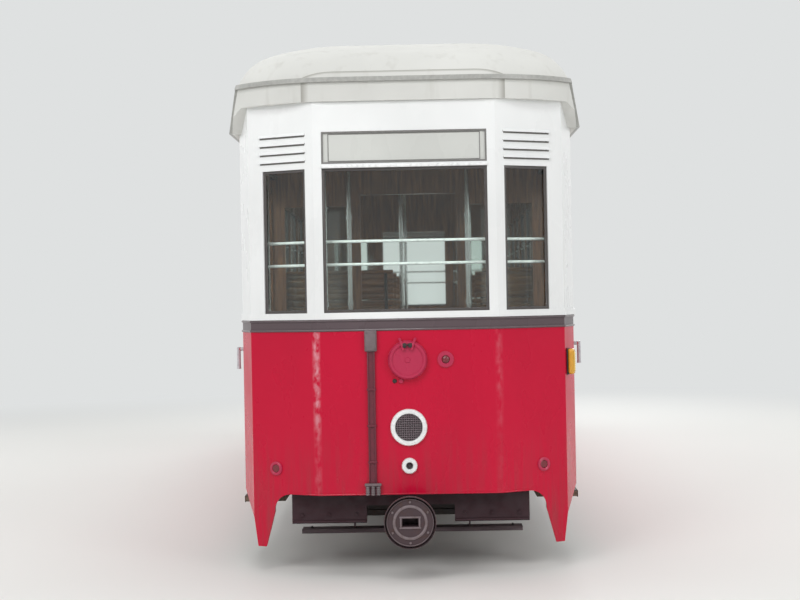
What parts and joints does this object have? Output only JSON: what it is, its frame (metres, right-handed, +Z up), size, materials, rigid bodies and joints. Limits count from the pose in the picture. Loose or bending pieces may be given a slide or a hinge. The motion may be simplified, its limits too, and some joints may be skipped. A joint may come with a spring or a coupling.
{
  "type": "two-axle tram trailer",
  "caption": "Enclosed two-axle tram trailer with faceted ends, domed roof, sliding platform doors, turning wheelsets and swinging buffer couplers.",
  "frame": {"origin": "on the floor under the middle of the car, level with the lowest point of the wheel flanges", "axes": "+Z up, +Y along the car towards the rear end, +X across the car to the right when facing the rear end"},
  "size_m": [2.116, 10.1, 3.184],
  "materials": {
    "red": "glossy",
    "white": "glossy",
    "roof_canvas": "matte",
    "moulding": "satin",
    "frame_dark": "matte",
    "beam_maroon": "matte",
    "cast_iron": "matte",
    "wheel_steel": "satin",
    "floor_wood": "matte",
    "varnished_wood": "glossy",
    "board_wood": "matte",
    "sash_dark": "satin",
    "glass": "clear",
    "sign_board": "satin",
    "pole_metal": "polished",
    "lamp_glass": "satin",
    "amber": "glossy"
  },
  "bodies": {
    "car": {"solebars": "frame_dark", "crossbars": "frame_dark", "bearers": "frame_dark", "pin_carriers": "frame_dark", "head_beams": "beam_maroon", "saloon_floor": "floor_wood", "platform_floors": "floor_wood", "dash_front": "red", "dash_rear": "red", "quarter_panels": "red", "front_frame": "white", "rear_frame": "white", "side_panel_left": "red", "side_panel_right": "red", "side_frame_left": "white", "side_frame_right": "white", "roof": "roof_canvas", "drip_moulding": "moulding", "bulkheads": "varnished_wood", "bulkhead_panes": "glass", "saloon_sashes": "sash_dark", "saloon_panes": "glass", "end_panes": "glass", "sign_boxes": "sign_board", "benches": "varnished_wood", "grab_poles": "pole_metal", "guard_bars": "white", "handbrakes": "pole_metal", "ceiling_lamps": "lamp_glass", "lamp_covers": "red", "ring_lamps": "white", "small_lamps": "red", "side_indicators": "amber", "dash_conduits": "frame_dark", "axle_guards": "frame_dark", "axleboxes": "cast_iron", "leaf_springs": "frame_dark", "brake_gear": "frame_dark", "step_aprons": "red", "step_boards": "board_wood", "lifeguards": "board_wood", "side_guards": "board_wood", "door_rails": "frame_dark"},
    "front_left_door": {"door_front_left": "red", "door_pane_front_left": "glass"},
    "front_right_door": {"door_front_right": "red", "door_pane_front_right": "glass"},
    "rear_left_door": {"door_rear_left": "red", "door_pane_rear_left": "glass"},
    "rear_right_door": {"door_rear_right": "red", "door_pane_rear_right": "glass"},
    "front_wheelset": {"axle_front": "wheel_steel", "wheels_front": "wheel_steel"},
    "rear_wheelset": {"axle_rear": "wheel_steel", "wheels_rear": "wheel_steel"},
    "front_drawbar": {"coupler_front": "cast_iron"},
    "rear_drawbar": {"coupler_rear": "cast_iron"}
  },
  "joints": [
    {"name": "front_left_door_slide", "type": "slide", "parent": "car", "child": "front_left_door", "axis": [0, 1, 0], "range_m": [0, 0.64]},
    {"name": "front_right_door_slide", "type": "slide", "parent": "car", "child": "front_right_door", "axis": [0, 1, 0], "range_m": [0, 0.64]},
    {"name": "rear_left_door_slide", "type": "slide", "parent": "car", "child": "rear_left_door", "axis": [0, -1, 0], "range_m": [0, 0.64]},
    {"name": "rear_right_door_slide", "type": "slide", "parent": "car", "child": "rear_right_door", "axis": [0, -1, 0], "range_m": [0, 0.64]},
    {"name": "front_wheelset_spin", "type": "hinge", "parent": "car", "child": "front_wheelset", "pos_m": [0, -1.7, 0.392], "axis": [1, 0, 0], "continuous": true},
    {"name": "rear_wheelset_spin", "type": "hinge", "parent": "car", "child": "rear_wheelset", "pos_m": [0, 1.7, 0.392], "axis": [1, 0, 0], "continuous": true},
    {"name": "front_coupler_swing", "type": "hinge", "parent": "car", "child": "front_drawbar", "pos_m": [0, -4.1, 0.345], "axis": [0, 0, 1], "range_deg": [-20, 20]},
    {"name": "rear_coupler_swing", "type": "hinge", "parent": "car", "child": "rear_drawbar", "pos_m": [0, 4.1, 0.345], "axis": [0, 0, 1], "range_deg": [-20, 20]}
  ]
}
